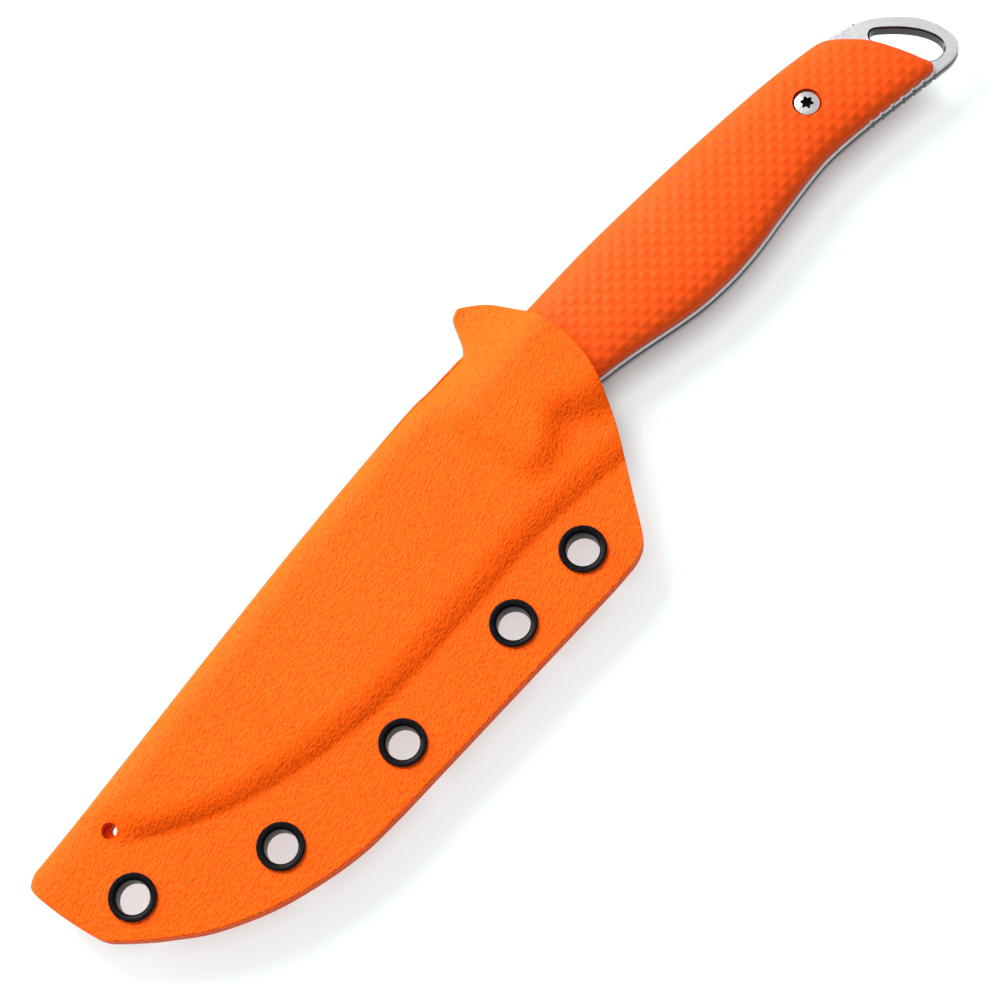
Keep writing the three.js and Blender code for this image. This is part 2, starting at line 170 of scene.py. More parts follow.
def rise(value, middle, width):
    """0 below a band of the given width round middle, 1 above it, smooth between."""
    t = np.clip((value - middle) / width + 0.5, 0, 1)
    return t * t * (3 - 2 * t)


def curve_through(knots):
    """A smooth function through (x, y) knots, level beyond the first and the last."""
    xs, ys = np.array(knots, float).T
    order = np.arange(len(xs))
    before, after = np.maximum(order - 1, 0), np.minimum(order + 1, len(xs) - 1)
    slopes = (ys[after] - ys[before]) / (xs[after] - xs[before])

    def at(x):
        x = np.clip(x, xs[0], xs[-1])
        i = np.clip(np.searchsorted(xs, x, side="right") - 1, 0, len(xs) - 2)
        span = xs[i + 1] - xs[i]
        t = (x - xs[i]) / span
        away = 1 - t
        return (ys[i] * away * away * (1 + 2 * t) + ys[i + 1] * t * t * (3 - 2 * t)
                + span * t * away * (slopes[i] * away - slopes[i + 1] * t))

    return at


crease_line = curve_through([
    (-101, 17.5), (-97, 14.0), (-87, 6.9), (-75, 0.5), (-60, -4.4), (-45, -7.6), (-20, -9.1),
    (0, -9.9), (10, -11.4), (20, -13.1), (36, -16.5)])
foot_line = curve_through([
    (4, -1.5), (8, -4.2), (10, -4.9), (12, -5.0), (14, -4.5), (16, -3.7), (18, -2.9), (20, -2.8),
    (22, -4.2), (24, -6.4), (26, -8.0), (28, -8.6), (31, -9.0), (36, -9.3)])
slope_width = curve_through([
    (9, 4.0), (13, 4.2), (17, 6.0), (20, 7.0), (24, 8.0), (28, 9.0), (36, 9.0)])
grip_line = curve_through([
    (5, 3.0), (9, -1.0), (12, -2.7), (15.5, -2.0), (18.5, 1.6), (21.3, 4.2), (23.3, 2.2),
    (25, -3.2), (28, -5.8), (36, -6.5)])
blade_edge = curve_through([
    (-95, 15.0), (-92, 12.2), (-87, 8.6), (-75, 2.1), (-60, -2.8), (-45, -6.0), (-20, -7.3),
    (4, -8.2)])
blade_spine = curve_through([
    (-95, 15.6), (-92, 17.9), (-85, 20.0), (-75, 21.2), (-60, 21.5), (10, 21.5), (18, 21.3),
    (34, 20.2), (50, 19.1), (65, 17.5), (80, 15.6), (95, 13.3), (103, 11.8), (113, 9.5),
    (121, 6.6)])
tang_belly = curve_through([
    (25, 3.9), (28, 1.0), (31, -0.6), (35, -1.6), (40, -2.95), (50, -6.0), (55, -7.3),
    (60, -8.15), (65, -8.65), (72, -8.75), (80, -8.3), (90, -7.9), (96, -8.1), (105, -9.6),
    (115, -11.8), (125, -14.05)])
scale_belly = curve_through([
    (9.5, 2.6), (11, 0.7), (13, 0.1), (16, 1.6), (19, 4.6), (22, 6.2), (25, 4.5), (28, 1.6),
    (31, 0.0), (35, -0.95), (40, -2.3), (50, -5.35), (55, -6.65), (60, -7.5), (65, -8.0),
    (72, -8.1), (80, -7.65), (90, -7.25), (96, -7.45), (105, -9.0), (115, -11.15), (122, -12.65)])
scale_spine = curve_through([
    (9.5, 19.4), (11, 20.4), (13, 20.6), (18, 20.5), (34, 19.8), (50, 18.8), (65, 17.2),
    (80, 15.3), (95, 13.0), (103, 11.5), (112.5, 9.3)])
scale_crown = curve_through([
    (9.5, 2.5), (13, 3.3), (20, 4.6), (30, 6.0), (45, 6.6), (70, 6.8), (95, 6.6), (110, 6.3),
    (118, 5.9), (124, 5.6)])


def bend(a, b, c, count=24):
    """A quadratic arc from a to c that leaves towards b, without its last point."""
    t = np.linspace(0, 1, count, endpoint=False)[:, None]
    a, b, c = (np.array(p, float) for p in (a, b, c))
    return a * (1 - t) ** 2 + 2 * b * t * (1 - t) + c * t * t


def smooth_through(points, count=16):
    """A Catmull-Rom line through the points, without its last point."""
    p = np.array(points, float)
    ends = np.vstack([2 * p[0] - p[1], p, 2 * p[-1] - p[-2]])
    t = np.linspace(0, 1, count, endpoint=False)[:, None]
    runs = []
    for a, b, c, d in zip(ends, ends[1:], ends[2:], ends[3:]):
        runs.append(0.5 * (2 * b + (c - a) * t + (2 * a - 5 * b + 4 * c - d) * t ** 2
                           + (3 * b - a - 3 * c + d) * t ** 3))
    return np.vstack(runs)


def line_of(function, xs):
    return np.column_stack([xs, function(np.array(xs, float))])


def joined(*runs):
    return np.vstack([np.atleast_2d(np.array(run, float)) for run in runs])


def respaced(line, shares):
    """Points on a polyline at the given shares of its length."""
    steps = np.linalg.norm(np.diff(line, axis=0), axis=1)
    along = np.concatenate([[0], np.cumsum(steps)]) / steps.sum()
    return np.column_stack([np.interp(shares, along, line[:, k]) for k in range(2)])


def patch(bottom, top, left, right, u, v):
    """A grid of points [u, v] between four boundary lines that meet at their corners."""
    b, t = respaced(bottom, u)[:, None], respaced(top, u)[:, None]
    l, r = respaced(left, v)[None], respaced(right, v)[None]
    s, w = u[:, None, None], v[None, :, None]
    corners = ((1 - s) * (1 - w) * b[0] + s * (1 - w) * b[-1]
               + (1 - s) * w * t[0] + s * w * t[-1])
    return (1 - w) * b + w * t + (1 - s) * l + s * r - corners


def distance_to(line, points, near):
    """Distance from each point to a polyline, as far as near."""
    shares = np.linspace(0, 1, 3000)
    samples = respaced(line, shares)
    tree = kdtree.KDTree(len(samples))
    for k, (x, y) in enumerate(samples):
        tree.insert((x, y, 0), k)
    tree.balance()
    flat = points.reshape(-1, 2)
    found = np.array([tree.find((x, y, 0))[2] for x, y in flat])
    return np.minimum(found, near).reshape(points.shape[:2])


def rounded(distance, radius, power=2.0):
    """Share of full height at a distance inside an edge that is rounded over the given radius."""
    inward = np.clip(1 - distance / radius, 0, 1)
    return (1 - inward ** power) ** (1 / power)


# ---------------------------------------------------------------- noise for worked surfaces

GRADIENTS = np.random.default_rng(7).normal(size=(256, 2))
SHUFFLE = np.random.default_rng(11).permutation(256)


def noise(x, y):
    """Smooth noise about 0, with one hump to each unit square."""
    xi, yi = np.floor(x).astype(int), np.floor(y).astype(int)
    xf, yf = x - xi, y - yi
    fade_x = xf ** 3 * (xf * (6 * xf - 15) + 10)
    fade_y = yf ** 3 * (yf * (6 * yf - 15) + 10)

    def corner(i, j):
        g = GRADIENTS[SHUFFLE[(SHUFFLE[(xi + i) % 256] + yi + j) % 256]]
        return g[..., 0] * (xf - i) + g[..., 1] * (yf - j)

    low = corner(0, 0) * (1 - fade_x) + corner(1, 0) * fade_x
    high = corner(0, 1) * (1 - fade_x) + corner(1, 1) * fade_x
    return low * (1 - fade_y) + high * fade_y


# ---------------------------------------------------------------- meshes

def place(points):
    """Drawing points in millimetres as frame points in metres."""
    return np.asarray(points, float) * MM + np.array(SHIFT)


def new_object(name, points, faces, smooth=True, sharp_angle=40):
    """A mesh object from drawing points in millimetres."""
    mesh = bpy.data.meshes.new(name)
    mesh.from_pydata(place(points).tolist(), [], faces)
    mesh.validate()
    tidy = bmesh.new()
    tidy.from_mesh(mesh)
    bmesh.ops.recalc_face_normals(tidy, faces=tidy.faces)
    tidy.to_mesh(mesh)
    tidy.free()
    obj = bpy.data.objects.new(name, mesh)
    bpy.context.scene.collection.objects.link(obj)
    if smooth:
        shade_smooth(obj, sharp_angle)
    return obj


def shade_smooth(obj, sharp_angle=40):
    obj.data.polygons.foreach_set("use_smooth", [True] * len(obj.data.polygons))
    obj.data.set_sharp_from_angle(angle=math.radians(sharp_angle))


def cut(obj, *cutters):
    """Cuts closed solids out of a closed mesh, and removes them."""
    for cutter in cutters:
        modifier = obj.modifiers.new("cut", "BOOLEAN")
        modifier.operation = "DIFFERENCE"
        modifier.solver = "MANIFOLD"
        modifier.object = cutter
    graph = bpy.context.evaluated_depsgraph_get()
    done = bpy.data.meshes.new_from_object(obj.evaluated_get(graph))
    obj.modifiers.clear()
    obj.data = done
    for cutter in cutters:
        bpy.data.objects.remove(cutter)
    shade_smooth(obj)
    return obj


def turned(name, profile, centre=(0, 0), segments=96, closed=True):
    """A profile of (radius, height) points turned about a line along Z."""
    profile = np.array(profile, float)
    angles = np.linspace(0, 2 * math.pi, segments, endpoint=False)
    points, faces, count = [], [], len(profile)
    for angle in angles:
        for r, z in profile:
            points.append((centre[0] + r * math.cos(angle), centre[1] + r * math.sin(angle), z))
    runs = count if closed else count - 1
    for i in range(segments):
        here, there = i * count, (i + 1) % segments * count
        for j in range(runs):
            k = (j + 1) % count
            faces.append((here + j, there + j, there + k, here + k))
    if not closed:
        faces.append([i * count for i in range(segments)])
        faces.append([i * count + count - 1 for i in range(segments)])
    return new_object(name, points, faces)


def rod(radius, low, high, centre, segments=72):
    return turned("cutter", [(radius, low), (radius, high)], centre, segments, closed=False)


# ---------------------------------------------------------------- sheath

def panel_rise(x, start):
    """How far the blade's panel stands above the flange at a place along the sheath."""
    return (PANEL_HALF - FLANGE_HALF) * rise(x, *start)


def handle_swell(x, y):
    """Extra half thickness outside, over the front of the handle: a swelling with soft slopes."""
    lobe = LOBE_RISE + LOBE_CROWN * (1 - rise(x, *CROWN_END))
    height = lobe + GRIP_RISE * rise(x, *GRIP_START)
    climb = np.clip((y - foot_line(x)) / slope_width(x), 0, 1) ** SWELL_CLIMB
    return height * rise(x, *LOBE_START) * rise(climb, 0.5, 1) * (1 - rise(y, *SWELL_TOP))


def panel_step(x, y):
    """The blade's panel over the flange: steep at the foot of the crease, and round above it."""
    climb = np.clip((y - crease_line(x) + CREASE_FOOT) / CREASE_WIDTH, 0, 1)
    return panel_rise(x, PANEL_START) * (1 - (1 - climb) ** 2)


def softened(relief, x, y, reach):
    """A relief averaged over a disc, as thick sheet rounds off whatever it is pressed on."""
    total = relief(x, y)
    count = 1
    for share, points in ((0.5, 6), (1.0, 12)):
        for angle in np.linspace(0, 2 * math.pi, points, endpoint=False):
            total = total + relief(x + reach * share * math.cos(angle),
                                   y + reach * share * math.sin(angle))
            count += 1
    return total / count


def handle_room(x, y):
    """Extra half thickness inside: the room that the handle needs as it slides out."""
    lobe = LOBE_RISE * rise(x, *LOBE_ROOM_START) * rise(y, *LOBE_ROOM_FOOT)
    grip = GRIP_RISE * rise(x, *GRIP_START) * rise(y, grip_line(x), GRIP_ROOM_WIDTH)
    return (lobe + grip) * (1 - rise(y, *ROOM_TOP))


def sheath_level(x, y, inside=False):
    """Half thickness of the pressed sheath, before its fold and its edges are rounded."""
    if inside:
        panel = panel_rise(x, POCKET_START) * rise(y, crease_line(x), CREASE_ROOM)
        raised = panel + handle_room(x, y)
    else:
        raised = (softened(panel_step, x, y, CREASE_SOFTNESS)
                  + softened(handle_swell, x, y, SWELL_SOFTNESS))
    return FLANGE_HALF + raised * (1 - rise(x, *EAR_START) * rise(y, *EAR_SLOPE))


def sheath_edges(inset):
    """The four boundary lines of the sheet; its folded edge is drawn in by inset."""
    fold = joined(
        smooth_through([(-115.3, 22.8), (-113.2, 23.65), (-110, 23.75)], 12),
        smooth_through([(-110, 23.75), (-90, 24.2), (-60, 25.2), (-30, 26.0), (0, 26.0), (8, 25.25),
                        (16, 24.6)]),
        smooth_through([(16, 24.6), (17.6, 24.5), (18.8, 24.95), (19.8, 26.0), (21.0, 27.9),
                        (22.2, 29.95), (22.85, 30.95), (23.55, 31.45), (24.3, 31.6)]),
        (24.3, 31.6))
    if inset:
        tangent = np.gradient(fold, axis=0)
        tangent /= np.linalg.norm(tangent, axis=1)[:, None]
        fold = fold + inset * np.column_stack([tangent[:, 1], -tangent[:, 0]])
        keep = np.concatenate([[True], np.diff(fold[:, 0]) > 0])
        fold = fold[keep]
    bottom = joined(
        bend((-114.7, 5.2), (-114.2, 3.6), (-113.3, 2.5)),
        bend((-113.3, 2.5), (-110.6, -0.8), (-107.6, -4.0)),
        smooth_through([(-107.6, -4.0), (-100, -10.9), (-90, -17.0), (-80, -21.0), (-70, -23.7),
                        (-60, -24.9)]), (-60, -24.9),
        (0, -29.1),
        bend((5.2, -29.2), (7.6, -29.15), (9.5, -28.3), 8),
        (9.5, -28.3))
    left = joined(
        bend((-114.7, 5.2), (-115.5, 9.0), (-115.95, 14.0)),
        bend((-115.95, 14.0), (-116.2, 18.5), (-116.1, 20.4)),
        bend((-116.1, 20.4), (-115.95, 22.0), fold[0]),
        fold[0])
    mouth = joined(
        bend((9.5, -28.3), (11.0, -27.55), (12.6, -25.5), 8),
        smooth_through([(12.6, -25.5), (16.7, -20.3), (24.9, -9.9), (29.2, -3.0), (31.6, 2.2),
                        (32.85, 7.0), (33.2, 12.0), (32.75, 16.8), (31.5, 22.1), (29.6, 26.95),
                        (27.6, 29.5), (26.3, 30.75), (25.4, 31.4), fold[-1]]),
        fold[-1])
    return bottom, fold, left, mouth


def run_lengths(grid, axis):
    """Distance along the grid lines from their start, and to their end."""
    steps = np.linalg.norm(np.diff(grid, axis=axis), axis=2)
    pad = [(0, 0), (0, 0)]
    pad[axis] = (1, 0)
    from_start = np.pad(np.cumsum(steps, axis=axis), pad)
    total = np.take(from_start, [-1], axis=axis)
    return from_start, total - from_start


def trimmed_drop(grid, radius):
    """How far a face drops in the rounding along the three trimmed edges of the sheet."""
    from_left, from_mouth = run_lengths(grid, 0)
    from_bottom, _ = run_lengths(grid, 1)
    near = np.minimum(np.minimum(from_left, from_mouth), from_bottom)
    return radius * (1 - rounded(near, radius))


def clustered(count, fine_start, fine_end):
    """Shares from 0 to 1, with close lines next to an end that is rounded."""
    close = np.array([0.0004, 0.0011, 0.0021, 0.0034])
    inner = np.linspace(0.005 if fine_start else 0, 0.995 if fine_end else 1, count)
    start = np.concatenate([[0], close]) if fine_start else []
    end = np.concatenate([1 - close[::-1], [1]]) if fine_end else []
    return np.concatenate([start, inner, end])


def grained(points, scale_x, scale_y, depth):
    """How far shallow long-grained noise lifts each point of a grid."""
    x, y = points[..., 0], points[..., 1]
    wave = noise(x / scale_x, y / scale_y) + 0.5 * noise(2.1 * x / scale_x + 9, 2.1 * y / scale_y)
    return depth * wave


def sheath():
    """The sheet before its holes are cut; the last lines of v crowd towards the fold."""
    u = clustered(430, True, True)
    v = np.concatenate([clustered(120, True, False)[:-1] * 0.92,
                        0.92 + 0.08 * np.sin(np.linspace(0, math.pi / 2, 26))])
    outer = patch(*sheath_edges(0), u, v)
    inner = patch(*sheath_edges(SHEET), u, v)
    fold_out, fold_in = sheath_edges(0)[1], sheath_edges(SHEET)[1]
    in_ear = rise(outer[..., 0], *EAR_START)
    radius = FOLD_ROUND + (EAR_ROUND - FOLD_ROUND) * in_ear
    fold = rounded(distance_to(fold_out, outer, 20), radius, FOLD_POWER)
    level = sheath_level(outer[..., 0], outer[..., 1])
    high = level * fold - trimmed_drop(outer, TRIMMED_ROUND)
    high = high + grained(outer, *HAND_FORMED) * np.minimum(fold, high > 0.5)
    inner_level = sheath_level(inner[..., 0], inner[..., 1], True)
    inner_half = FLANGE_HALF + panel_rise(inner[..., 0], POCKET_START) * (1 - in_ear)
    inner_radius = np.maximum(inner_half - SHEET, LAYER_GAP)
    inner_fold = rounded(distance_to(fold_in, inner, 20), inner_radius, INNER_FOLD_POWER)
    low = np.maximum(inner_level - SHEET, LAYER_GAP) * inner_fold
    low = low + trimmed_drop(inner, INNER_TRIMMED_ROUND)
    high[:, -1] = 0
    low[:, -1] = 0
    return sheet_object("sheath", outer, high, inner, low)


def sheet_object(name, outer, high, inner, low):
    """Closes two mirrored skins, outer at +-high and inner at +-low, into one folded sheet."""
    rows, columns = high.shape
    around = 2 * columns - 1
    skins = []
    for grid, height in ((outer, high), (inner, low)):
        front = np.dstack([grid, height])
        back = np.dstack([grid, -height])[:, -2::-1]
        skins.append(np.concatenate([front, back], axis=1).reshape(-1, 3))
    points = np.vstack(skins)
    index = np.arange(rows * around).reshape(rows, around)
    a, b, c, d = index[:-1, :-1], index[1:, :-1], index[1:, 1:], index[:-1, 1:]
    outside = np.stack([a, b, c, d], axis=-1).reshape(-1, 4)
    inside = outside[:, ::-1] + rows * around
    ring = np.concatenate([index[0, :-1], index[:-1, -1], index[-1, :0:-1], index[:0:-1, 0]])
    after = np.roll(ring, -1)
    rim = np.stack([ring, after, after + rows * around, ring + rows * around], axis=-1)
    faces = np.vstack([outside, inside, rim]).tolist()
    return new_object(name, points, faces)


def make_sheath():
    body = sheath()
    holes = [rod(EYELET_HOLE, -6, 6, centre) for centre in EYELET_CENTRES]
    holes.append(rod(DRAIN_FRONT[2], 0, 6, DRAIN_FRONT[:2], 48))
    holes.append(rod(DRAIN_BACK[2], -6, 0.02, DRAIN_BACK[:2], 48))
    return cut(body, *holes)


def make_eyelet(number):
    """A pressed tube with a flared mouth and a rolled lip at each end."""
    lip = [(LIP_CENTRE[0] + LIP_ROUND * math.cos(a), LIP_CENTRE[1] + LIP_ROUND * math.sin(a))
           for a in np.linspace(-math.pi / 2, math.pi / 2, 9)]
    mouth = [(EYELET_BORE + FLARE[0] * (1 - math.sin(a)), FLARE_FOOT + FLARE[1] * math.cos(a))
             for a in np.linspace(0, math.pi / 2, 9)]
    half = [LIP_SHOULDER, *lip, *mouth]
    profile = half + [(r, -z) for r, z in reversed(half)]
    return turned(f"eyelet_ring_{number}", profile, EYELET_CENTRES[number - 1])


# ---------------------------------------------------------------- handle scales

def pyramids(x, y):
    """Height, from 0 to 1, of a field of square pyramids with worn ridges."""
    c, s = math.cos(PYRAMID_TURN), math.sin(PYRAMID_TURN)
    across = (x * c + y * s) / PYRAMID_PITCH
    along = (y * c - x * s) / PYRAMID_PITCH
    tent_a = 1 - np.abs(2 * (across - np.floor(across)) - 1)
    tent_b = 1 - np.abs(2 * (along - np.floor(along)) - 1)
    soft = (np.sin(math.pi * across) * np.sin(math.pi * along)) ** 2
    return SHARP_SHARE * np.minimum(tent_a, tent_b) + (1 - SHARP_SHARE) * soft


def scale_edges(belly_inset):
    """The four boundary lines of a scale; its lower edge is drawn in by belly_inset."""
    rear = smooth_through([
        (122.6, -12.85 + belly_inset), (123.55, -12.2 + belly_inset / 2), (123.65, -10.9),
        (123.1, -8.9), (122.45, -6.0), (121.6, -3.0), (120.6, -0.2), (119.4, 2.2), (117.9, 4.4),
        (116.3, 6.5), (114.7, 8.2), (113.3, 9.15)])
    belly = line_of(scale_belly, np.linspace(11, 122, 500)) + (0, belly_inset)
    spine = line_of(scale_spine, np.linspace(11, 112.5, 500))
    front = smooth_through([belly[0], (10.0, 2.6), (9.6, 8.0), (9.6, 14.0), (10.0, 18.6), spine[0]])
    bottom = joined(belly, rear[0])
    top = joined(spine, (113.3, 9.15))
    return bottom, top, joined(front, spine[0]), joined(rear, (113.3, 9.15))


def scale_height(grid, bottom, top, front, rear):
    """Height of a scale's face: a dome with rounded ends, and pyramids in from the edge."""
    x, y = grid[..., 0], grid[..., 1]
    from_belly, from_spine = distance_to(bottom, grid, 30), distance_to(top, grid, 30)
    from_rear, from_front = distance_to(rear, grid, 30), distance_to(front, grid, 30)
    across = np.minimum(from_belly / CREST_SHARE, from_spine / (1 - CREST_SHARE))
    across = across / (from_belly + from_spine + 1e-9)
    dome = rounded(across, 1.0, SCALE_ROUND)
    ends = rounded(from_rear, REAR_ROUND) * rounded(from_front, FRONT_ROUND)
    base = SCALE_BASE + SCALE_RIM
    height = base + (scale_crown(x) - base) * dome * ends
    edge = np.minimum(np.minimum(from_belly, from_spine), np.minimum(from_rear, from_front))
    relief = (pyramids(x, y) - PYRAMID_DATUM) * PYRAMID_HEIGHT
    return height + relief * rise(edge, *PYRAMID_MARGIN)


def footed(name, grid, height, foot_height):
    """Closes a skin with a wall down to one flat foot."""
    rows, columns = height.shape
    skin = np.dstack([grid, height]).reshape(-1, 3)
    index = np.arange(rows * columns).reshape(rows, columns)
    ring = np.concatenate([index[:-1, 0], index[-1, :-1], index[:0:-1, -1], index[0, :0:-1]])
    foot = skin[ring].copy()
    foot[:, 2] = foot_height
    feet = rows * columns + np.arange(len(ring))
    a, b, c, d = index[:-1, :-1], index[1:, :-1], index[1:, 1:], index[:-1, 1:]
    faces = np.stack([a, b, c, d], axis=-1).reshape(-1, 4).tolist()
    faces += np.stack([ring, np.roll(ring, -1), np.roll(feet, -1), feet], axis=-1).tolist()
    faces.append(feet.tolist())
    return new_object(name, np.vstack([skin, foot]), faces)


def make_scale(name, side):
    """A domed handle scale on one face of the tang, with its screw holes; side is 1 or -1."""
    edges = scale_edges(0 if side > 0 else BACK_SCALE_INSET)
    grid = patch(*edges, clustered(480, True, True), clustered(120, True, True))
    obj = footed(name, grid, scale_height(grid, *edges) * side, SCALE_BASE * side)
    cutters = []
    pocket_radius, pocket_floor = HEAD_POCKET
    for centre in SCREW_PLACES.values():
        low, high = sorted((side * 0.5, side * pocket_floor))
        cutters.append(rod(BARREL_HOLE, low, high, centre))
        low, high = sorted((side * pocket_floor, side * 9.0))
        cutters.append(rod(pocket_radius, low, high, centre))
    return cut(obj, *cutters)


# ---------------------------------------------------------------- blade and tang

def notches(edge, places, inward):
    """A run of small round notches along an edge line; inward is 1 for up and -1 for down."""
    half = NOTCH_HALF * np.sign(places[1] - places[0])
    runs = []
    for x in places:
        start, end = (x - half, float(edge(x - half))), (x + half, float(edge(x + half)))
        runs.append(bend(start, (x, float(edge(x)) + 2 * inward * NOTCH_DEPTH), end, 7))
        runs.append(end)
    return joined(*runs)


def knife_outline():
    edge = line_of(blade_edge, np.linspace(-95, PLUNGE_X, 160))
    guard = joined(
        bend(edge[-1], (6.5, -8.6), (9, -8.8), 8),
        bend((9, -8.8), (13.5, -10.4), (15.5, -8.8), 12),
        bend((15.5, -8.8), (16.9, -7.4), (16.7, -3.5), 12),
        bend((16.7, -3.5), (16.7, 5.6), (21.5, 5.7), 20),
        bend((21.5, 5.7), (23.8, 5.6), (25, 3.9), 8))
    belly = line_of(tang_belly, np.linspace(25.2, 104.5, 160))
    lower = notches(tang_belly, LOWER_NOTCHES, 1)
    loop = joined(
        bend((125.3, -14.1), (128.4, -14.8), (130.2, -13.7)),
        bend((130.2, -13.7), (132.0, -12.5), (131.88, -9.2)),
        bend((131.88, -9.2), (131.7, -4.0), (128.8, -0.5)),
        bend((128.8, -0.5), (126.3, 3.2), (123.3, 5.3)))
    upper = notches(blade_spine, UPPER_NOTCHES, -1)
    spine = line_of(blade_spine, np.linspace(101, -94.6, 300))
    return joined(edge, guard, belly, lower, loop, upper, spine)


def lanyard_opening():
    return joined(
        bend((121.2, 1.9), (122.3, 3.4), (123.9, 1.5)),
        bend((123.9, 1.5), (129.0, -4.3), (129.3, -8.8)),
        bend((129.3, -8.8), (129.3, -11.9), (126.6, -11.9)),
        bend((126.6, -11.9), (124.6, -11.8), (124.1, -10.2), 12),
        bend((124.1, -10.2), (122.9, -3.2), (121.1, 0.4)),
        bend((121.1, 0.4), (120.8, 1.3), (121.2, 1.9), 8))


def plate(name, outlines, half, bevel):
    """A flat plate of the given outlines, the first its rim and the rest its openings."""
    curve = bpy.data.curves.new(name, "CURVE")
    curve.dimensions = "2D"
    curve.fill_mode = "BOTH"
    for outline in outlines:
        spline = curve.splines.new("POLY")
        spline.points.add(len(outline) - 1)
        flat = np.column_stack([outline * MM, np.zeros(len(outline)), np.ones(len(outline))])
        spline.points.foreach_set("co", flat.ravel())
        spline.use_cyclic_u = True
    curve.extrude = (half - bevel) * MM
    curve.bevel_depth = bevel * MM
    curve.bevel_resolution = 0
    curve.offset = -bevel * MM
    drawn = bpy.data.objects.new(name, curve)
    bpy.context.scene.collection.objects.link(drawn)
    graph = bpy.context.evaluated_depsgraph_get()
    mesh = bpy.data.meshes.new_from_object(drawn.evaluated_get(graph))
    bpy.data.objects.remove(drawn)
    mesh.transform(Matrix.Translation(SHIFT))
    tidy = bmesh.new()
    tidy.from_mesh(mesh)
    bmesh.ops.remove_doubles(tidy, verts=tidy.verts, dist=0.002 * MM)
    bmesh.ops.recalc_face_normals(tidy, faces=tidy.faces)
    tidy.to_mesh(mesh)
    tidy.free()
    mesh.name = name
    obj = bpy.data.objects.new(name, mesh)
    bpy.context.scene.collection.objects.link(obj)
    shade_smooth(obj, 30)
    return obj


def grind(side):
    """What the grinder takes off one face of the blade: all above a flat from edge to shoulder."""
    xs = np.concatenate([np.linspace(-97, -80, 40), np.linspace(-79.5, PLUNGE_X + 3, 120)])
    points = []
    for x in xs:
        edge, spine = float(blade_edge(x)), float(blade_spine(x))
        shoulder = edge + (spine - edge) * GRIND_SHARE
        half = min(TANG_HALF, POINT_HALF + POINT_GROWTH * max(x - POINT_X, 0))
        run_out = RUN_OUT * float(rise(x, PLUNGE_X + 1, 4)) ** 2
        foot = EDGE_HALF + run_out
        if half < TANG_HALF:
            slope = (half - EDGE_HALF) / max(shoulder - edge, 0.2)
            crest, height = spine + 4, half + run_out
        else:
            slope = (TANG_HALF - EDGE_HALF) / (shoulder - edge)
            crest = shoulder + 1 / slope
            height = foot + slope * (crest - edge)
        far = edge - GRIND_REACH
        ring = [(far, foot - slope * GRIND_REACH), (edge, foot),
                (shoulder, foot + slope * (shoulder - edge)), (crest, height),
                (crest, GRIND_TOP), (far, GRIND_TOP)]
        points += [(x, y, side * z) for y, z in ring]
    count = len(ring)
    faces = []
    for i in range(len(xs) - 1):
        for j in range(count):
            k = (j + 1) % count
            faces.append((i * count + j, (i + 1) * count + j, (i + 1) * count + k, i * count + k))
    faces.append(list(range(count)))
    faces.append([(len(xs) - 1) * count + j for j in range(count)])
    return new_object("grind", points, faces, smooth=False)


def make_blade():
    obj = plate("knife_plate", [knife_outline(), lanyard_opening()], TANG_HALF, CHAMFER)
    cutters = [grind(1), grind(-1)]
    cutters += [rod(BARREL_HOLE, -5, 5, centre) for centre in SCREW_PLACES.values()]
    return cut(obj, *cutters)


# ---------------------------------------------------------------- screws

def make_screw(name, centre, side):
    """A low domed head just below the scale's surface, with a six-lobed drive recess."""
    crown = float(scale_crown(centre[0])) - HEAD_SUNK
    dome = [(DOME_RADIUS * share, crown - DOME_DROP * share ** 2)
            for share in np.linspace(0.02, 1, 14)]
    rim = (HEAD_RADIUS, crown - RIM_DROP)
    profile = [(r, side * z) for r, z in [*dome, rim, *HEAD_FOOT, *STUD]]
    head = turned(name, profile, centre, 96, closed=False)
    angles = np.linspace(0, 2 * math.pi, 120, endpoint=False)
    reach = RECESS_RADIUS * (1 + RECESS_LOBE * np.cos(6 * angles))
    points, faces = [], []
    for z in (crown - RECESS_DEPTH, 8.0):
        points += [(centre[0] + r * math.cos(a), centre[1] + r * math.sin(a), side * z)
                   for r, a in zip(reach, angles)]
    for i in range(120):
        j = (i + 1) % 120
        faces.append((i, j, 120 + j, 120 + i))
    faces += [list(range(120)), list(range(120, 240))]
    return cut(head, new_object("recess", points, faces, smooth=False))


def another_material(obj, material, chosen):
    """Puts another material on the faces that chosen(centre in drawing millimetres, normal) picks."""
    obj.data.materials.append(material)
    for face in obj.data.polygons:
        centre = (face.center - SHIFT) / MM
        if chosen(centre, face.normal):
            face.material_index = len(obj.data.materials) - 1


def in_painted_recess_shade(screw_centre):
    """A test for the walls and the floor of a screw's drive recess, which are given painted shade."""
    def chosen(centre, normal):
        away = math.hypot(centre.x - screw_centre[0], centre.y - screw_centre[1])
        return away < 1.45 and (abs(normal.z) < 0.5 or abs(centre.z) < 5.4)
    return chosen


def on_plate_side(centre, normal):
    """The wall round the tang, which gets painted shade."""
    return abs(normal.z) < 0.4 and centre.x > PLUNGE_X


def on_blade(centre, normal):
    """Both faces of the blade, ahead of the handle."""
    return centre.x < GUARD_X and abs(normal.z) > 0.4


def on_painted_highlight_edge(centre, normal):
    """The chamfer along the cutting-edge side of the tang, which gets a painted highlight."""
    return centre.x > PLUNGE_X and 0.4 < abs(normal.z) < 0.9 and normal.y < -0.45


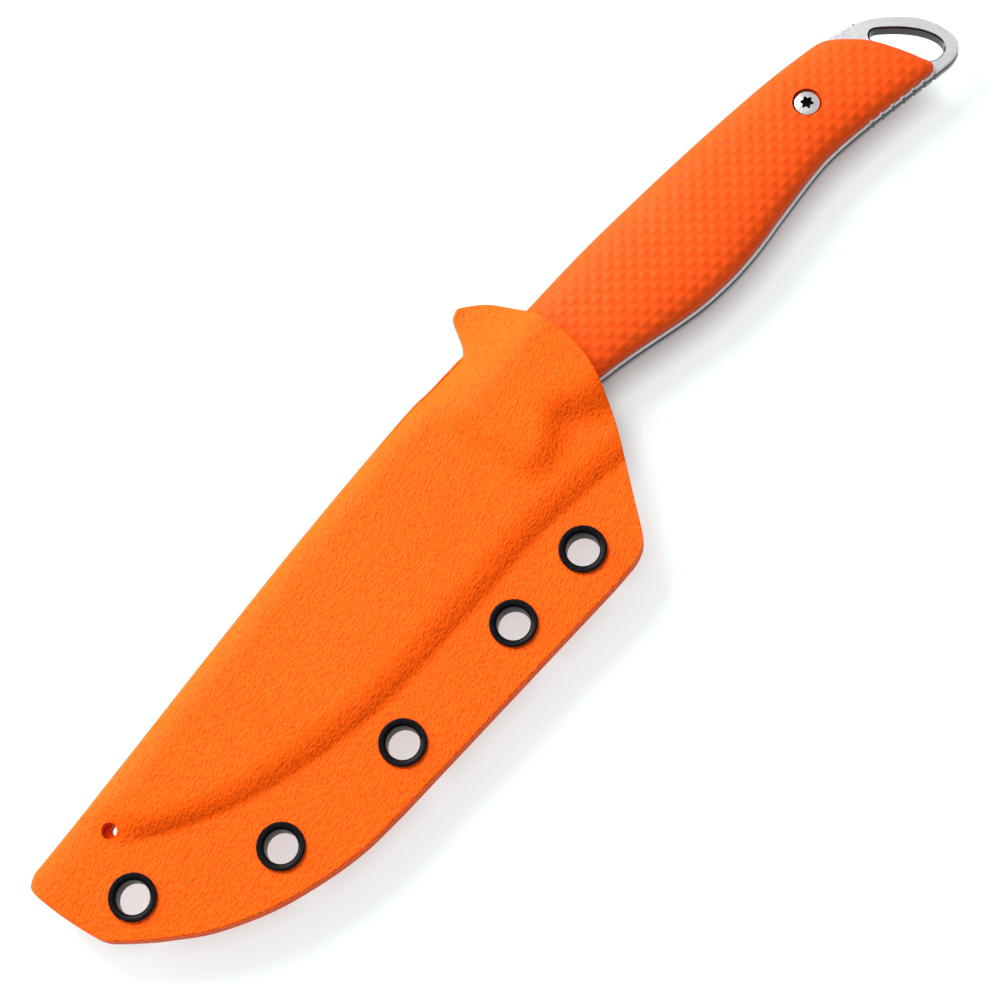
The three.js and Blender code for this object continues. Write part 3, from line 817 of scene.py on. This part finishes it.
def in_plate_shade(centre, normal):
    """The notches under the tail and the wall of the lanyard opening, which get painted shade."""
    x, y = centre.x, centre.y
    if x < PLUNGE_X or abs(normal.z) > 0.9:
        return False
    over_belly = y - float(tang_belly(x))
    notched = abs(normal.z) < 0.4 and normal.y < 0 and 105 < x < 124 and 0.05 < over_belly < 1
    in_opening = 120.8 < x < 129.6 and y > -12.3 and min(normal.x, normal.y) < -0.2
    return notched or in_opening


# ---------------------------------------------------------------- materials

# the floor's even glow, dimmed into a painted contact shadow within a short reach of what lies on it
FLOOR_GLOW = 0.68
PAINTED_SHADOW_GLOW = 0.12
PAINTED_SHADOW_REACH = 0.0073


class Nodes:
    """A material under construction: node() adds a node and wires its named inputs."""

    def __init__(self, name):
        self.material = bpy.data.materials.new(name)
        self.material.use_nodes = True
        self.tree = self.material.node_tree
        self.shader = self.tree.nodes["Principled BSDF"]

    def node(self, kind, settings=None, **inputs):
        made = self.tree.nodes.new(kind)
        for key, value in (settings or {}).items():
            setattr(made, key, value)
        for key, value in inputs.items():
            self.put(made, key, value)
        return made

    def put(self, made, key, value):
        socket = made.inputs[key.replace("_", " ")]
        if isinstance(value, bpy.types.NodeSocket):
            self.tree.links.new(value, socket)
        else:
            socket.default_value = value

    def coordinates(self, stretch=(1, 1, 1), turn=0):
        source = self.node("ShaderNodeTexCoord").outputs["Object"]
        turned_to = self.node("ShaderNodeMapping", Vector=source, Rotation=(0, 0, turn))
        return self.node("ShaderNodeMapping", Vector=turned_to.outputs["Vector"],
                         Scale=stretch).outputs["Vector"]

    def noise(self, vector, scale, detail=2.0, roughness=0.5, distortion=0.0):
        return self.node("ShaderNodeTexNoise", Vector=vector, Scale=scale, Detail=detail,
                         Roughness=roughness, Distortion=distortion).outputs["Fac"]

    def ramp(self, factor, stops):
        made = self.node("ShaderNodeValToRGB", Fac=factor)
        elements = made.color_ramp.elements
        while len(elements) < len(stops):
            elements.new(0.5)
        for element, (position, colour) in zip(elements, stops):
            element.position = position
            element.color = (*colour, 1)
        return made.outputs["Color"]

    def fit(self, value, low, high, to_low, to_high):
        return self.node("ShaderNodeMapRange", Value=value, From_Min=low, From_Max=high,
                         To_Min=to_low, To_Max=to_high).outputs["Result"]

    def multiply(self, first, second):
        """One colour times another; 6, 7 and 2 are the colour sockets of a Mix node."""
        made = self.tree.nodes.new("ShaderNodeMix")
        made.data_type = "RGBA"
        made.blend_type = "MULTIPLY"
        made.inputs["Factor"].default_value = 1.0
        self.tree.links.new(first, made.inputs[6])
        self.tree.links.new(second, made.inputs[7])
        return made.outputs[2]

    def bump(self, height, strength, distance, normal=None):
        made = self.node("ShaderNodeBump", Height=height, Strength=strength, Distance=distance)
        if normal is not None:
            self.put(made, "Normal", normal)
        return made.outputs["Normal"]

    def finish(self, **inputs):
        for key, value in inputs.items():
            self.put(self.shader, key, value)
        return self.material


def sheath_material():
    m = Nodes("orange_sheet")
    base = m.coordinates()
    along = m.coordinates((0.55, 1.0, 1.0), math.radians(-14))
    waves = m.noise(along, 2150, 1.5, 0.5, 0.4)
    fine = m.noise(along, 4200, 2.0, 0.6)
    broad = m.noise(base, 45, 3, 0.5)
    tone = m.ramp(broad, [(0.3, (0.89, 0.098, 0.002)), (0.7, (0.93, 0.106, 0.003))])
    # painted shade: the grain's valleys, the low side of the bump's waves, are darkened
    grain_painted_shade = m.ramp(waves, [(0.32, (0.78, 0.70, 0.68)), (0.52, (1, 1, 1))])
    colour = m.multiply(tone, grain_painted_shade)
    rough = m.fit(fine, 0.3, 0.7, 0.38, 0.52)
    grain = m.bump(fine, 0.5, 0.00006)
    normal = m.bump(waves, 1.0, 0.00029, grain)
    return m.finish(Base_Color=colour, Roughness=rough, Normal=normal, IOR=1.2,
                    Specular_IOR_Level=0.25)


def scale_material():
    m = Nodes("red_orange_nylon")
    base = m.coordinates()
    speckle = m.noise(base, 3200, 2, 0.6)
    broad = m.noise(base, 60, 3, 0.5)
    tone = m.ramp(broad, [(0.3, (0.745, 0.072, 0.006)), (0.7, (0.79, 0.080, 0.008))])
    rough = m.fit(speckle, 0.3, 0.7, 0.58, 0.44)
    normal = m.bump(speckle, 0.4, 0.00008)
    return m.finish(Base_Color=tone, Roughness=rough, Normal=normal, IOR=1.2,
                    Specular_IOR_Level=0.3)


def steel_material():
    m = Nodes("stonewashed_steel")
    pitted = m.noise(m.coordinates((0.6, 1, 1)), 2400, 3, 0.65)
    cloudy = m.noise(m.coordinates(), 160, 3, 0.5)
    tone = m.ramp(cloudy, [(0.3, (0.55, 0.55, 0.56)), (0.7, (0.61, 0.61, 0.62))])
    rough = m.fit(pitted, 0.3, 0.7, 0.30, 0.42)
    normal = m.bump(pitted, 0.25, 0.00004)
    return m.finish(Base_Color=tone, Metallic=1.0, Roughness=rough, Normal=normal)


def blade_material():
    """Satin steel, with fine grinding lines across the blade."""
    m = Nodes("satin_blade_steel")
    lines = m.noise(m.coordinates((1, 0.05, 0.3)), 5200, 3, 0.6)
    cloudy = m.noise(m.coordinates(), 90, 3, 0.5)
    tone = m.ramp(cloudy, [(0.3, (0.24, 0.24, 0.25)), (0.7, (0.29, 0.29, 0.30))])
    rough = m.fit(lines, 0.3, 0.7, 0.34, 0.48)
    normal = m.bump(lines, 0.35, 0.00004)
    return m.finish(Base_Color=tone, Metallic=1.0, Roughness=rough, Normal=normal)


def painted_highlight_edge_material():
    # painted highlight: a near-white, barely metallic colour that makes the chamfer read as a bright
    # line
    m = Nodes("steel_edge_painted_highlight")
    cloudy = m.noise(m.coordinates(), 700, 3, 0.5)
    tone = m.ramp(cloudy, [(0.3, (0.86, 0.86, 0.87)), (0.7, (0.94, 0.94, 0.94))])
    rough = m.fit(cloudy, 0.3, 0.7, 0.34, 0.46)
    return m.finish(Base_Color=tone, Metallic=0.15, Roughness=rough)


def steel_side_painted_shade_material():
    """The tang's side wall with painted shade: darker steel than the faces, and nearly black through
    its upper half.
    """
    m = Nodes("steel_side_painted_shade")
    brushed = m.noise(m.coordinates((0.15, 1, 1)), 2600, 3, 0.6)
    height = m.node("ShaderNodeSeparateXYZ", Vector=m.coordinates()).outputs["Z"]
    half = m.fit(height, SHIFT.z - 0.4 * MM, SHIFT.z, 0, 1)
    grey = m.ramp(brushed, [(0.3, (0.24, 0.24, 0.25)), (0.7, (0.34, 0.34, 0.35))])
    # painted shade: the upper half of the side wall is darkened
    painted_shade_tint = m.ramp(half, [(0, (1, 1, 1)), (1, (0.03, 0.03, 0.035))])
    tone = m.multiply(grey, painted_shade_tint)
    rough = m.fit(brushed, 0.3, 0.7, 0.36, 0.5)
    normal = m.bump(brushed, 0.2, 0.00004)
    return m.finish(Base_Color=tone, Metallic=1.0, Roughness=rough, Normal=normal)


def painted_shade_steel_material():
    # painted shade: near-black steel for the notches under the tail and the lanyard opening's wall
    m = Nodes("steel_painted_shade")
    cloudy = m.noise(m.coordinates(), 700, 3, 0.5)
    tone = m.ramp(cloudy, [(0.3, (0.035, 0.035, 0.04)), (0.7, (0.075, 0.075, 0.08))])
    rough = m.fit(cloudy, 0.3, 0.7, 0.25, 0.4)
    return m.finish(Base_Color=tone, Metallic=1.0, Roughness=rough)


def screw_material():
    m = Nodes("polished_steel")
    cloudy = m.noise(m.coordinates(), 900, 3, 0.5)
    rough = m.fit(cloudy, 0.3, 0.7, 0.16, 0.28)
    tone = m.ramp(cloudy, [(0.3, (0.58, 0.58, 0.58)), (0.7, (0.72, 0.72, 0.71))])
    return m.finish(Base_Color=tone, Metallic=1.0, Roughness=rough)


def eyelet_material():
    # real black lacquer on the eyelets; the same colour is painted shade in the screws' drive
    # recesses
    m = Nodes("black_lacquer_and_recess_shade")
    speckle = m.noise(m.coordinates(), 1800, 3, 0.6)
    tone = m.ramp(speckle, [(0.35, (0.003, 0.003, 0.004)), (0.75, (0.006, 0.006, 0.007))])
    rough = m.fit(speckle, 0.3, 0.7, 0.26, 0.38)
    normal = m.bump(speckle, 0.15, 0.00005)
    return m.finish(Base_Color=tone, Roughness=rough, Normal=normal, IOR=1.15)


def floor_material():
    """A pale floor that glows, with a painted contact shadow where its glow is dimmed close to
    whatever lies on it; its cyan tint offsets the orange light that bounces onto it.
    """
    m = Nodes("white_floor_painted_shadow")
    mottled = m.noise(m.coordinates(), 30, 2, 0.5)
    tone = m.ramp(mottled, [(0.3, (0.33, 0.385, 0.39)), (0.7, (0.35, 0.405, 0.41))])
    near = m.node("ShaderNodeAmbientOcclusion", {"samples": 6}, Distance=PAINTED_SHADOW_REACH)
    # painted contact shadow: the glow falls off where ambient occlusion finds something close
    glow_with_painted_shadow = m.fit(near.outputs["AO"], 0.3, 1.0, PAINTED_SHADOW_GLOW, FLOOR_GLOW)
    return m.finish(Base_Color=tone, Roughness=0.9, Specular_IOR_Level=0.0,
                    Emission_Color=(0.975, 1, 1, 1), Emission_Strength=glow_with_painted_shadow)


# ---------------------------------------------------------------- stage, light and camera

FOCAL_LENGTH = 112.14
CAMERA_DISTANCE = 0.612
FLOOR_HALF = 3.0
WORLD_STRENGTH = 0.85
BRIGHTEST_WAY = (0.1, 0.35, 0.93)
SKY_LEVELS = [(0.0, 0.12), (0.35, 0.46), (0.7, 0.9), (1.0, 1.0)]
LIGHTS = {"key": ((0.05, 0.37, 0.38), 0.33, 4.3), "rim": ((-0.35, 0.75, 0.22), 0.35, 5.0)}


def make_camera():
    """Looks at the drawing origin, tipped away from the vertical, with the knife aslant."""
    right = Vector((0.6306, -0.7701, -0.0968)).normalized()
    ahead = Vector((0.1597, 0.2508, -0.9548)).normalized()
    up = right.cross(ahead)
    data = bpy.data.cameras.new("camera")
    data.sensor_width = 36
    data.lens = FOCAL_LENGTH
    camera = bpy.data.objects.new("camera", data)
    turn = Matrix((right, up, -ahead)).transposed().to_4x4()
    camera.matrix_world = Matrix.Translation(SHIFT - ahead * CAMERA_DISTANCE) @ turn
    bpy.context.scene.collection.objects.link(camera)
    bpy.context.scene.camera = camera


def make_floor():
    size = FLOOR_HALF
    corners = [(-size, -size, 0), (size, -size, 0), (size, size, 0), (-size, size, 0)]
    mesh = bpy.data.meshes.new("floor")
    mesh.from_pydata(corners, [], [(0, 1, 2, 3)])
    floor = bpy.data.objects.new("floor", mesh)
    bpy.context.scene.collection.objects.link(floor)
    mesh.materials.append(floor_material())


def area_light(name, stand, size, power):
    """A round soft light that is aimed at the middle of the floor."""
    data = bpy.data.lights.new(name, "AREA")
    data.shape = "DISK"
    data.size = size
    data.energy = power
    light = bpy.data.objects.new(name, data)
    light.location = stand
    light.rotation_euler = (-Vector(stand)).to_track_quat("-Z", "Y").to_euler()
    bpy.context.scene.collection.objects.link(light)


def make_world():
    """A studio that is bright overhead and behind the spine, and dark low in front of the edge."""
    world = bpy.data.worlds.new("studio")
    world.use_nodes = True
    tree = world.node_tree
    direction = tree.nodes.new("ShaderNodeTexCoord").outputs["Generated"]
    towards = tree.nodes.new("ShaderNodeVectorMath")
    towards.operation = "DOT_PRODUCT"
    towards.inputs[1].default_value = Vector(BRIGHTEST_WAY).normalized()
    tree.links.new(direction, towards.inputs[0])
    ramp = tree.nodes.new("ShaderNodeValToRGB")
    tree.links.new(towards.outputs["Value"], ramp.inputs["Fac"])
    elements = ramp.color_ramp.elements
    while len(elements) < len(SKY_LEVELS):
        elements.new(0.5)
    for element, (position, level) in zip(elements, SKY_LEVELS):
        element.position = position
        element.color = (level, level, level, 1)
    background = tree.nodes["Background"]
    tree.links.new(ramp.outputs["Color"], background.inputs["Color"])
    background.inputs["Strength"].default_value = WORLD_STRENGTH
    bpy.context.scene.world = world


def make_light():
    make_world()
    for name, (stand, size, power) in LIGHTS.items():
        area_light(name, stand, size, power)


# ---------------------------------------------------------------- assembly

def dress(obj, body, material, slot_name, *nodes):
    """Gives a piece its material and body, and says which CAD nodes it stands for; slot_name is not
    used.
    """
    obj.data.materials.clear()
    obj.data.materials.append(material)
    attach(obj, body)
    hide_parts(*nodes)


bpy.context.scene.view_settings.view_transform = "Standard"
make_camera()
make_floor()
make_light()

orange, red = sheath_material(), scale_material()
steel, polished, black = steel_material(), screw_material(), eyelet_material()

dress(make_sheath(), "sheath", orange, "sheath", "sheath_shell")
for number in range(1, 6):
    dress(make_eyelet(number), "sheath", black, "eyelet", f"eyelet_{number}")
blade = make_blade()
dress(blade, "knife", steel, "blade_steel", "blade")
# the tang's side wall gets painted shade
another_material(blade, steel_side_painted_shade_material(), on_plate_side)
# the chamfer along the cutting-edge side gets a painted highlight
another_material(blade, painted_highlight_edge_material(), on_painted_highlight_edge)
# the notches and the lanyard opening's wall get painted shade
another_material(blade, painted_shade_steel_material(), in_plate_shade)
another_material(blade, blade_material(), on_blade)
dress(make_scale("scale_front", 1), "knife", red, "scale", "upper_scale")
dress(make_scale("scale_back", -1), "knife", red, "scale", "lower_scale")
for end, centre in SCREW_PLACES.items():
    for name, side, replaced in (("front", 1, "upper"), ("back", -1, "lower")):
        screw = make_screw(f"{end}_head_{name}", centre, side)
        dress(screw, "knife", polished, "fastener", f"{end}_screw_{replaced}")
        # the drive recess gets painted shade in the eyelets' colour
        another_material(screw, black, in_painted_recess_shade(centre))
    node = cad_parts[f"{end}_barrel"]
    node.data.materials.clear()
    node.data.materials.append(polished)
